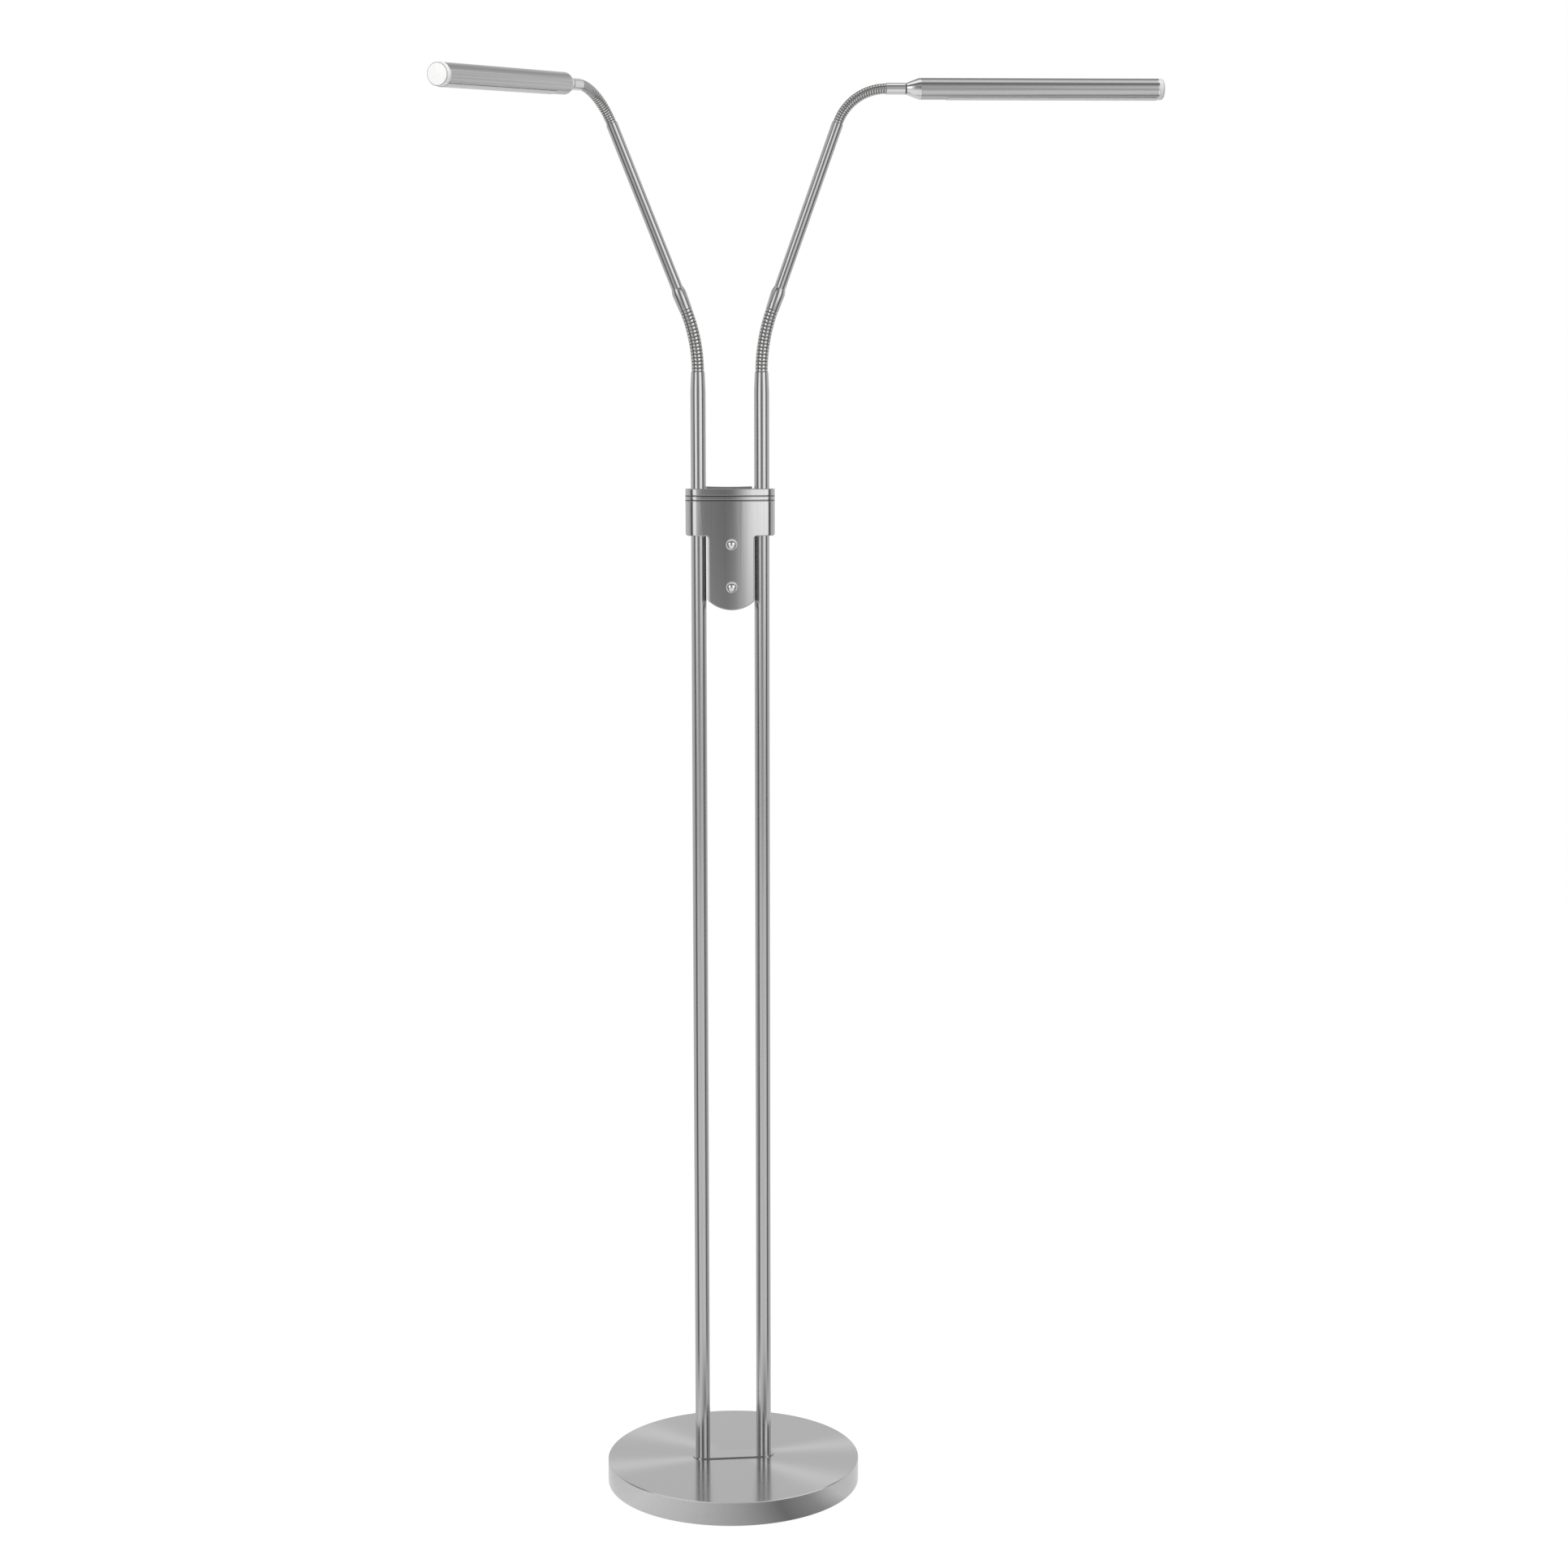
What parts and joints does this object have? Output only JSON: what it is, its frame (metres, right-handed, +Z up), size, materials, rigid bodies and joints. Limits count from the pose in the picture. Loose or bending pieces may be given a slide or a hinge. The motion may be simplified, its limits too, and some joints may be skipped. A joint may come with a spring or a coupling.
{
  "type": "floor lamp",
  "caption": "Free-standing floor lamp: slim poles on a round weighted base, arms between flexing necks, tubular swivelling light heads and a push-button dimmer clamp.",
  "frame": {"origin": "middle of the round base where it rests on the floor", "axes": "+Z up along the poles, X along the line between the poles, -Y towards the front with the buttons"},
  "size_m": [0.7586, 0.4378, 1.5074],
  "materials": {
    "base_satin": "satin nickel, fine turned grain",
    "pole_satin": "satin nickel, drawn tube",
    "foot_satin": "satin nickel",
    "clamp_satin": "satin nickel",
    "arm_satin": "satin nickel, drawn tube",
    "head_satin": "brushed lengthwise",
    "neck_nickel": "polished nickel ribs",
    "cone_chrome": "polished nickel",
    "button_chrome": "polished",
    "ring_black": "black washer",
    "cap_clear": "clear moulded end cap",
    "cap_frosted": "frosted end cap",
    "diffuser_white": "milky diffuser strip",
    "led_white": "white circuit strip with yellow lamps",
    "carrier_aluminium": "extruded heat sink",
    "ballast_iron": "painted casting",
    "plate_black": "black bottom plate",
    "pad_foam": "dense foam pad",
    "screw_steel": "zinc plated",
    "joint_steel": "turned and zinc plated",
    "grommet_rubber": "black grommet",
    "driver_plastic": "moulded case",
    "board_green": "circuit board with two switches"
  },
  "bodies": {
    "root": {"base_shell": "base_satin", "ballast_weight": "ballast_iron", "bottom_plate": "plate_black", "floor_pad": "pad_foam", "bottom_screws": "screw_steel", "foot_plate": "foot_satin", "cable_grommet": "grommet_rubber", "pole_nuts": "joint_steel", "led_driver": "driver_plastic", "pole_left": "pole_satin", "pole_right": "pole_satin", "pole_joiners": "joint_steel", "upper_pole_left": "pole_satin", "upper_pole_right": "pole_satin", "clamp_front": "clamp_satin", "clamp_back": "clamp_satin", "clamp_screws": "screw_steel", "dimmer_board": "board_green"},
    "button_upper": {"button_upper": "button_chrome"},
    "button_lower": {"button_lower": "button_chrome"},
    "left_lower_link_1": {"lower_neck_link_1_left": "neck_nickel"},
    "left_upper_link_1": {"upper_neck_link_1_left": "neck_nickel"},
    "left_lower_link_2": {"lower_neck_link_2_left": "neck_nickel"},
    "left_upper_link_2": {"upper_neck_link_2_left": "neck_nickel"},
    "left_lower_link_3": {"lower_neck_link_3_left": "neck_nickel"},
    "left_upper_link_3": {"upper_neck_link_3_left": "neck_nickel"},
    "left_lower_link_4": {"lower_neck_link_4_left": "neck_nickel"},
    "left_upper_link_4": {"upper_neck_link_4_left": "neck_nickel"},
    "left_lower_link_5": {"lower_neck_link_5_left": "neck_nickel"},
    "left_upper_link_5": {"upper_neck_link_5_left": "neck_nickel"},
    "left_arm": {"neck_sleeve_left": "arm_satin", "arm_tube_left": "arm_satin"},
    "left_ferrule": {"head_ferrule_left": "cone_chrome"},
    "left_head": {"swivel_washer_left": "ring_black", "swivel_cone_left": "cone_chrome", "head_tube_left": "head_satin", "end_cap_left": "cap_frosted", "diffuser_left": "diffuser_white", "led_board_left": "led_white", "led_carrier_left": "carrier_aluminium"},
    "right_lower_link_1": {"lower_neck_link_1_right": "neck_nickel"},
    "right_upper_link_1": {"upper_neck_link_1_right": "neck_nickel"},
    "right_lower_link_2": {"lower_neck_link_2_right": "neck_nickel"},
    "right_upper_link_2": {"upper_neck_link_2_right": "neck_nickel"},
    "right_lower_link_3": {"lower_neck_link_3_right": "neck_nickel"},
    "right_upper_link_3": {"upper_neck_link_3_right": "neck_nickel"},
    "right_lower_link_4": {"lower_neck_link_4_right": "neck_nickel"},
    "right_upper_link_4": {"upper_neck_link_4_right": "neck_nickel"},
    "right_lower_link_5": {"lower_neck_link_5_right": "neck_nickel"},
    "right_upper_link_5": {"upper_neck_link_5_right": "neck_nickel"},
    "right_arm": {"neck_sleeve_right": "arm_satin", "arm_tube_right": "arm_satin"},
    "right_ferrule": {"head_ferrule_right": "cone_chrome"},
    "right_head": {"swivel_washer_right": "ring_black", "swivel_cone_right": "cone_chrome", "head_tube_right": "head_satin", "end_cap_right": "cap_clear", "diffuser_right": "diffuser_white", "led_board_right": "led_white", "led_carrier_right": "carrier_aluminium"}
  },
  "joints": [
    {"name": "button_upper_press", "type": "slide", "parent": "root", "child": "button_upper", "axis": [0, 1, 0], "range_m": [0, 0.0012], "stiffness_N_per_m": 800, "springref_m": -0.0005},
    {"name": "button_lower_press", "type": "slide", "parent": "root", "child": "button_lower", "axis": [0, 1, 0], "range_m": [0, 0.0012], "stiffness_N_per_m": 800, "springref_m": -0.0005},
    {"name": "left_lower_bend", "type": "hinge", "parent": "root", "child": "left_lower_link_1", "pos_m": [-0.03344, 0, 1.20564], "axis": [0, -1, 0], "range_deg": [-5, 12.5]},
    {"name": "left_lower_side", "type": "hinge", "parent": "left_lower_link_1", "child": "left_lower_link_2", "pos_m": [-0.03401, 0, 1.21654], "axis": [-0.9964, 0, -0.0845], "range_deg": [-12.5, 12.5]},
    {"name": "left_lower_bend_2", "type": "hinge", "parent": "left_lower_link_2", "child": "left_lower_link_3", "pos_m": [-0.03528, 0, 1.22738], "axis": [0, -1, 0], "range_deg": [-5, 12.5]},
    {"name": "left_lower_bend_3", "type": "hinge", "parent": "left_lower_link_3", "child": "left_lower_link_4", "pos_m": [-0.03723, 0, 1.23812], "axis": [0, -1, 0], "range_deg": [-5, 12.5]},
    {"name": "left_lower_side_4", "type": "hinge", "parent": "left_lower_link_4", "child": "left_lower_link_5", "pos_m": [-0.03986, 0, 1.24871], "axis": [-0.9625, 0, -0.2713], "range_deg": [-12.5, 12.5]},
    {"name": "left_lower_bend_5", "type": "hinge", "parent": "left_lower_link_5", "child": "left_arm", "pos_m": [-0.04315, 0, 1.25912], "axis": [0, -1, 0], "range_deg": [-5, 12.5]},
    {"name": "left_upper_bend", "type": "hinge", "parent": "left_arm", "child": "left_upper_link_1", "pos_m": [-0.12335, -0.0003, 1.45962], "axis": [0.8206, -0.4679, 0.3282], "range_deg": [-17.5, 10]},
    {"name": "left_upper_side", "type": "hinge", "parent": "left_upper_link_1", "child": "left_upper_link_2", "pos_m": [-0.12845, -0.00267, 1.469], "axis": [-0.2701, -0.8235, -0.4988], "range_deg": [-17.5, 17.5]},
    {"name": "left_upper_bend_2", "type": "hinge", "parent": "left_upper_link_2", "child": "left_upper_link_3", "pos_m": [-0.13429, -0.00726, 1.47703], "axis": [0.8206, -0.4679, 0.3282], "range_deg": [-17.5, 10]},
    {"name": "left_upper_bend_3", "type": "hinge", "parent": "left_upper_link_3", "child": "left_upper_link_4", "pos_m": [-0.14049, -0.0138, 1.48323], "axis": [0.8206, -0.4679, 0.3282], "range_deg": [-17.5, 10]},
    {"name": "left_upper_side_4", "type": "hinge", "parent": "left_upper_link_4", "child": "left_upper_link_5", "pos_m": [-0.14669, -0.02188, 1.48721], "axis": [0.1416, -0.3898, -0.9099], "range_deg": [-17.5, 17.5]},
    {"name": "left_upper_bend_5", "type": "hinge", "parent": "left_upper_link_5", "child": "left_ferrule", "pos_m": [-0.15252, -0.03102, 1.48874], "axis": [0.8206, -0.4679, 0.3282], "range_deg": [-17.5, 10]},
    {"name": "left_head_swivel", "type": "hinge", "parent": "left_ferrule", "child": "left_head", "pos_m": [-0.15517, -0.03581, 1.48854], "axis": [-0.4646, -0.8805, -0.0938], "range_deg": [-90, 90]},
    {"name": "right_lower_bend", "type": "hinge", "parent": "root", "child": "right_lower_link_1", "pos_m": [0.03343, 0, 1.20564], "axis": [0, 1, 0], "range_deg": [-5, 12.5]},
    {"name": "right_lower_side", "type": "hinge", "parent": "right_lower_link_1", "child": "right_lower_link_2", "pos_m": [0.03396, 0, 1.21654], "axis": [0.9971, 0, -0.0765], "range_deg": [-12.5, 12.5]},
    {"name": "right_lower_bend_2", "type": "hinge", "parent": "right_lower_link_2", "child": "right_lower_link_3", "pos_m": [0.0351, 0, 1.2274], "axis": [0, 1, 0], "range_deg": [-5, 12.5]},
    {"name": "right_lower_bend_3", "type": "hinge", "parent": "right_lower_link_3", "child": "right_lower_link_4", "pos_m": [0.03687, 0, 1.23817], "axis": [0, 1, 0], "range_deg": [-5, 12.5]},
    {"name": "right_lower_side_4", "type": "hinge", "parent": "right_lower_link_4", "child": "right_lower_link_5", "pos_m": [0.03926, 0, 1.24882], "axis": [0.9692, 0, -0.2464], "range_deg": [-12.5, 12.5]},
    {"name": "right_lower_bend_5", "type": "hinge", "parent": "right_lower_link_5", "child": "right_arm", "pos_m": [0.04225, 0, 1.25931], "axis": [0, 1, 0], "range_deg": [-5, 12.5]},
    {"name": "right_upper_bend", "type": "hinge", "parent": "right_arm", "child": "right_upper_link_1", "pos_m": [0.11535, 0, 1.46252], "axis": [0, 1, 0], "range_deg": [-17.5, 10]},
    {"name": "right_upper_side", "type": "hinge", "parent": "right_upper_link_1", "child": "right_upper_link_2", "pos_m": [0.12105, 0, 1.47186], "axis": [0.7969, 0, -0.6041], "range_deg": [-17.5, 17.5]},
    {"name": "right_upper_bend_2", "type": "hinge", "parent": "right_upper_link_2", "child": "right_upper_link_3", "pos_m": [0.12851, 0, 1.47988], "axis": [0, 1, 0], "range_deg": [-17.5, 10]},
    {"name": "right_upper_bend_3", "type": "hinge", "parent": "right_upper_link_3", "child": "right_upper_link_4", "pos_m": [0.13743, 0, 1.48622], "axis": [0, 1, 0], "range_deg": [-17.5, 10]},
    {"name": "right_upper_side_4", "type": "hinge", "parent": "right_upper_link_4", "child": "right_upper_link_5", "pos_m": [0.14745, 0, 1.49064], "axis": [0.3092, 0, -0.951], "range_deg": [-17.5, 17.5]},
    {"name": "right_upper_bend_5", "type": "hinge", "parent": "right_upper_link_5", "child": "right_ferrule", "pos_m": [0.15815, 0, 1.49296], "axis": [0, 1, 0], "range_deg": [-17.5, 10]},
    {"name": "right_head_swivel", "type": "hinge", "parent": "right_ferrule", "child": "right_head", "pos_m": [0.16362, 0, 1.49329], "axis": [0.9999, 0, 0.0105], "range_deg": [-90, 90]}
  ],
  "couplings": [
    {"joint": "left_lower_bend_2", "follows": "left_lower_bend", "ratio": 1},
    {"joint": "left_lower_bend_3", "follows": "left_lower_bend", "ratio": 1},
    {"joint": "left_lower_side_4", "follows": "left_lower_side", "ratio": 1},
    {"joint": "left_lower_bend_5", "follows": "left_lower_bend", "ratio": 1},
    {"joint": "left_upper_bend_2", "follows": "left_upper_bend", "ratio": 1},
    {"joint": "left_upper_bend_3", "follows": "left_upper_bend", "ratio": 1},
    {"joint": "left_upper_side_4", "follows": "left_upper_side", "ratio": 1},
    {"joint": "left_upper_bend_5", "follows": "left_upper_bend", "ratio": 1},
    {"joint": "right_lower_bend_2", "follows": "right_lower_bend", "ratio": 1},
    {"joint": "right_lower_bend_3", "follows": "right_lower_bend", "ratio": 1},
    {"joint": "right_lower_side_4", "follows": "right_lower_side", "ratio": 1},
    {"joint": "right_lower_bend_5", "follows": "right_lower_bend", "ratio": 1},
    {"joint": "right_upper_bend_2", "follows": "right_upper_bend", "ratio": 1},
    {"joint": "right_upper_bend_3", "follows": "right_upper_bend", "ratio": 1},
    {"joint": "right_upper_side_4", "follows": "right_upper_side", "ratio": 1},
    {"joint": "right_upper_bend_5", "follows": "right_upper_bend", "ratio": 1}
  ]
}
